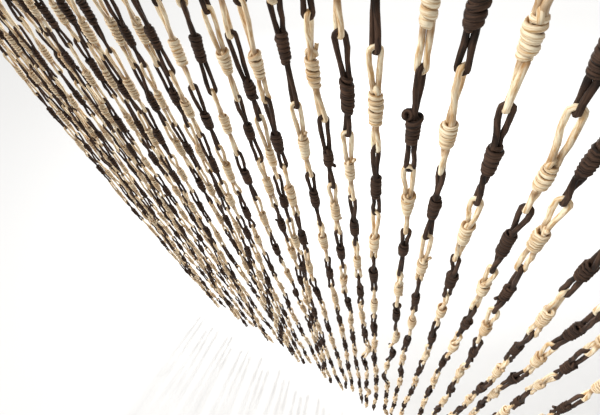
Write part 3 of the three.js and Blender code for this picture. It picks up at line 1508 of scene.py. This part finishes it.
@dataclass(frozen=True)
class CordFinish:
    """A waxed cord: its own colour with lighter and darker fibres, and painted shade where cords meet."""

    name: str
    base: Colour
    light: Colour
    dark: Colour
    # Colour of the painted shade where cords meet
    crevice: Colour
    roughness: float
    # How much painted shade the mask gives at most
    crevice_shade_share: float
    gloss: float
    fineness: float = 0.65
    twist: float = 60.0
    evenness: float = 0.2
    tone_share: float = 0.35
    fibre_roughness: float = 0.15
    fibre_range: Range = (0.38, 0.57)
    tone_range: Range = (0.35, 0.65)
    crevice_shade_range: Range = (0.05, 0.75)
    bump: float = 0.5
    bump_distance: float = 0.7 * MM

    def material(self) -> bpy.types.Material:
        """Builds the cord's material.

        Returns:
            The material.
        """
        material = bpy.data.materials.new(self.name)
        material.use_nodes = True
        kit = NodeKit(material.node_tree)
        shader = material.node_tree.nodes["Principled BSDF"]
        shader.inputs["Specular IOR Level"].default_value = self.gloss
        cord = kit.add("ShaderNodeUVMap", uv_map=UV_MAP)
        place = kit.add("ShaderNodeTexCoord")
        grain = kit.add("ShaderNodeGroup", node_tree=CordGrainGroup.tree())
        kit.join(cord.outputs[0], grain.inputs["Cord"])
        kit.join(place.outputs["Object"], grain.inputs["Place"])
        grain.inputs["Fineness"].default_value = self.fineness
        grain.inputs["Twist"].default_value = self.twist

        fibre = kit.stretch(grain.outputs["Fibre"], self.fibre_range)
        tone = kit.stretch(grain.outputs["Tone"], self.tone_range)
        colour = kit.blend(fibre, self.dark, self.light)
        colour = kit.blend(self.evenness, colour, self.base)
        shade = kit.math("MULTIPLY", tone, self.tone_share)
        colour = kit.blend(shade, colour, self.dark)
        # Painted shade: darkens the colour towards the painted shade colour where cords meet
        crevice = kit.add("ShaderNodeAttribute", attribute_name=CREVICE_SHADE)
        edge = kit.stretch(crevice.outputs["Fac"], self.crevice_shade_range)
        depth = kit.math("MULTIPLY", edge, self.crevice_shade_share)
        colour = kit.blend(depth, colour, self.crevice)
        kit.join(colour, shader.inputs["Base Color"])

        rough = kit.math("ADD", kit.math("MULTIPLY", fibre, self.fibre_roughness), self.roughness)
        kit.join(rough, shader.inputs["Roughness"])
        bump = kit.add("ShaderNodeBump", Strength=self.bump, Distance=self.bump_distance)
        kit.join(grain.outputs["Height"], bump.inputs["Height"])
        kit.join(bump.outputs[0], shader.inputs["Normal"])
        return material


@dataclass(frozen=True)
class TapeFinish:
    """Matt woven cotton of the heading."""

    name: str = "woven_tape"
    base: Colour = (0.60, 0.47, 0.29)
    dark: Colour = (0.36, 0.26, 0.14)
    gloss: float = 0.25
    threads: float = 2600.0
    weave_share: float = 0.5
    slub_share: float = 0.4
    roughness: float = 0.75
    slub_roughness: float = 0.2
    bump: float = 0.5
    bump_distance: float = 0.3 * MM

    def material(self) -> bpy.types.Material:
        """Builds the tape's material.

        Returns:
            The material.
        """
        material = bpy.data.materials.new(self.name)
        material.use_nodes = True
        kit = NodeKit(material.node_tree)
        shader = material.node_tree.nodes["Principled BSDF"]
        shader.inputs["Specular IOR Level"].default_value = self.gloss
        place = kit.add("ShaderNodeTexCoord")
        weave = kit.add("ShaderNodeGroup", node_tree=WeaveGroup.tree())
        kit.join(place.outputs["Object"], weave.inputs["Place"])
        weave.inputs["Threads"].default_value = self.threads
        share = kit.math("MULTIPLY", weave.outputs["Weave"], self.weave_share)
        share = kit.math("ADD", share, kit.math("MULTIPLY", weave.outputs["Slub"], self.slub_share))
        kit.join(kit.blend(share, self.base, self.dark), shader.inputs["Base Color"])
        slub = kit.math("MULTIPLY", weave.outputs["Slub"], self.slub_roughness)
        kit.join(kit.math("ADD", slub, self.roughness), shader.inputs["Roughness"])
        bump = kit.add("ShaderNodeBump", Strength=self.bump, Distance=self.bump_distance)
        kit.join(weave.outputs["Weave"], bump.inputs["Height"])
        kit.join(bump.outputs[0], shader.inputs["Normal"])
        return material


NATURAL_FINISH = CordFinish(
    name="natural_waxed_cord",
    base=(0.86, 0.68, 0.40),
    light=(0.97, 0.88, 0.67),
    dark=(0.46, 0.235, 0.065),
    # Painted shade where cords meet
    crevice=(0.27, 0.12, 0.03),
    roughness=0.45,
    crevice_shade_share=0.95,
    gloss=0.4,
)
BROWN_FINISH = CordFinish(
    name="brown_waxed_cord",
    base=(0.038, 0.021, 0.0135),
    light=(0.098, 0.054, 0.034),
    dark=(0.013, 0.008, 0.0055),
    # Painted shade where cords meet
    crevice=(0.004, 0.0025, 0.002),
    roughness=0.6,
    crevice_shade_share=0.85,
    gloss=0.14,
)


@dataclass
class KnottedCurtain:
    """All strands and the heading, dressed and riding on the one body."""

    layout: CurtainLayout = field(default_factory=CurtainLayout)
    sizes: CordSizes = field(default_factory=CordSizes)
    strands_per_piece: int = 10
    seed: int = 20

    def finish(self, colour: CordColour) -> bpy.types.Material:
        """The material of one cord colour."""
        chosen = BROWN_FINISH if colour is CordColour.BROWN else NATURAL_FINISH
        return bpy.data.materials.get(chosen.name) or chosen.material()

    def dress(self, piece: bpy.types.Object, material: bpy.types.Material) -> None:
        """Gives a piece its material, slot and body.

        Args:
            piece: The piece.
            material: Its material.
        """
        piece.data.materials.append(material)
        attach(piece, BODY)
        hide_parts(CAD_NODE)
        triangles = sum(len(p.vertices) - 2 for p in piece.data.polygons)
        LOG.info("%s: %d triangles", piece.name, triangles)

    def build_strands(self) -> None:
        """Ties every strand and joins neighbours of one colour into a piece."""
        count = self.layout.strand_count
        for group, first in enumerate(range(0, count, self.strands_per_piece)):
            meshes = {colour: CordMesh() for colour in CordColour}
            for number in range(first, min(first + self.strands_per_piece, count)):
                rng = np.random.default_rng([self.seed, number])
                strand = Strand(number, self.layout, self.sizes, rng)
                strand.add_root(meshes[strand.colour(-1)])
                for colour, link in strand.links():
                    link.add_to(meshes[colour])
            for colour, mesh in meshes.items():
                piece = mesh.build(f"{colour.name.lower()}_links_{group + 1}")
                self.dress(piece, self.finish(colour))

    def build_heading(self) -> None:
        """Folds and sews the heading tape."""
        heading = HeadingTape()
        material = TapeFinish().material()
        self.dress(heading.build_tape(), material)
        self.dress(heading.build_stitches(), self.finish(CordColour.NATURAL))


@dataclass
class PhotoCamera:
    """The camera that the photograph was taken with, close to the curtain and looking down.

    Its heading, downward tilt and roll are in degrees.
    """

    place: Place = (0.3177, -0.1794, -0.7845)
    heading: float = 45.98
    downward: float = 52.22
    roll: float = -14.31
    focal_pixels: float = 391.05
    frame_pixels: float = 600.0
    sensor: float = 36.0
    clip_start: float = 0.01

    def build(self) -> None:
        """Places the scene's camera."""
        turn, dip = math.radians(self.heading), math.radians(self.downward)
        forward = Vector((-math.sin(turn) * math.cos(dip), math.cos(turn) * math.cos(dip), -math.sin(dip)))
        level_right = forward.cross(Vector(UPWARDS)).normalized()
        level_up = level_right.cross(forward)
        roll = math.radians(self.roll)
        right = level_right * math.cos(roll) + level_up * math.sin(roll)
        upward = level_up * math.cos(roll) - level_right * math.sin(roll)
        data = bpy.data.cameras.new("photo_camera")
        data.sensor_width = self.sensor
        data.lens = self.focal_pixels / self.frame_pixels * self.sensor
        data.clip_start = self.clip_start
        camera = bpy.data.objects.new("photo_camera", data)
        basis = Matrix((right, upward, -forward)).transposed().to_4x4()
        camera.matrix_world = Matrix.Translation(self.place) @ basis
        bpy.context.scene.collection.objects.link(camera)
        bpy.context.scene.camera = camera


@dataclass(frozen=True)
class Lamp:
    """A soft square lamp. The heights of its place and of its aim count from the floor."""

    name: str
    place: Place
    aim: Place
    size: float
    watts: float

    def build(self, floor_level: float) -> None:
        """Adds the lamp to the scene.

        Args:
            floor_level: Height of the floor.
        """
        place, aim = (Vector((x, y, floor_level + z)) for x, y, z in (self.place, self.aim))
        data = bpy.data.lights.new(self.name, "AREA")
        data.size = self.size
        data.energy = self.watts
        lamp = bpy.data.objects.new(self.name, data)
        lamp.location = place
        lamp.rotation_euler = (aim - place).to_track_quat("-Z", "Y").to_euler()
        lamp.visible_camera = False
        bpy.context.scene.collection.objects.link(lamp)


LOW_BACK = Lamp("low_back", (-0.52, 1.25, 0.95), (0.0, 0.0, 0.0), 0.10, 19.0)
FAR_FILL = Lamp("far_fill", (-0.7, 2.3, 1.7), (-0.6, 1.6, 0.0), 3.4, 21.0)


@dataclass(frozen=True)
class Daylight:
    """Even light from one side, as from a large window far away that fills an angle in degrees."""

    towards: Place = (-0.85, -0.6, 0.75)
    strength: float = 3.15
    softness: float = 26.0

    def build(self) -> None:
        """Adds the light to the scene."""
        data = bpy.data.lights.new("daylight", "SUN")
        data.energy = self.strength
        data.angle = math.radians(self.softness)
        lamp = bpy.data.objects.new("daylight", data)
        lamp.rotation_euler = (-Vector(self.towards)).to_track_quat("-Z", "Y").to_euler()
        bpy.context.scene.collection.objects.link(lamp)


@dataclass
class Studio:
    """Pale floor and soft light."""

    floor_gap: float = 0.035
    floor_size: float = 30.0
    floor_colour: Colour = (0.742, 0.738, 0.73)
    floor_roughness: float = 0.6
    floor_gloss: float = 0.2
    cloud: Noise = Noise(1.5, 2.0)
    cloud_tone: float = 0.985
    sky: Colour = (1.0, 0.995, 0.985)
    sky_strength: float = 0.5
    backdrop_strength: float = 0.8
    daylight: Daylight = Daylight()
    lamps: tuple[Lamp, ...] = (LOW_BACK, FAR_FILL)

    @property
    def floor_level(self) -> float:
        """Height of the floor, a little below the lowest strand."""
        return CAD_BOX[0][2] - self.floor_gap

    def build_floor(self) -> None:
        """Lays the floor."""
        level, half = self.floor_level, self.floor_size / 2
        mesh = bpy.data.meshes.new("floor")
        corners = [(-half, -half, level), (half, -half, level), (half, half, level), (-half, half, level)]
        mesh.from_pydata(corners, [], [(0, 1, 2, 3)])
        floor = bpy.data.objects.new("floor", mesh)
        bpy.context.scene.collection.objects.link(floor)
        material = bpy.data.materials.new("pale_floor")
        material.use_nodes = True
        kit = NodeKit(material.node_tree)
        shader = material.node_tree.nodes["Principled BSDF"]
        shader.inputs["Roughness"].default_value = self.floor_roughness
        shader.inputs["Specular IOR Level"].default_value = self.floor_gloss
        place = kit.add("ShaderNodeTexCoord")
        cloud = self.cloud.add(kit, place.outputs["Object"])
        duller = tuple(c * self.cloud_tone for c in self.floor_colour)
        kit.join(kit.blend(cloud, self.floor_colour, duller), shader.inputs["Base Color"])
        mesh.materials.append(material)

    def build_sky(self) -> None:
        """Sets the sky's light, and its own brightness where the camera sees it."""
        world = bpy.data.worlds.new("studio_sky")
        world.use_nodes = True
        kit = NodeKit(world.node_tree)
        light = world.node_tree.nodes["Background"]
        light.inputs["Strength"].default_value = self.sky_strength
        light.inputs["Color"].default_value = (*self.sky, 1.0)
        backdrop = kit.add("ShaderNodeBackground", Strength=self.backdrop_strength)
        backdrop.inputs["Color"].default_value = (*self.sky, 1.0)
        either = kit.add("ShaderNodeMixShader")
        kit.join(kit.add("ShaderNodeLightPath").outputs["Is Camera Ray"], either.inputs[0])
        kit.join(light.outputs[0], either.inputs[1])
        kit.join(backdrop.outputs[0], either.inputs[2])
        kit.join(either.outputs[0], world.node_tree.nodes["World Output"].inputs["Surface"])
        bpy.context.scene.world = world

    def build(self) -> None:
        """Sets up floor, light and plain colour handling."""
        self.build_floor()
        self.build_sky()
        self.daylight.build()
        for lamp in self.lamps:
            lamp.build(self.floor_level)
        bpy.context.scene.view_settings.view_transform = "Standard"


def main() -> None:
    """Builds the curtain, its studio and its camera."""
    logging.basicConfig(level=logging.INFO, format="%(name)s %(message)s")
    PhotoCamera().build()
    curtain = KnottedCurtain()
    curtain.build_heading()
    curtain.build_strands()
    Studio().build()


if __name__ == "__main__":
    main()
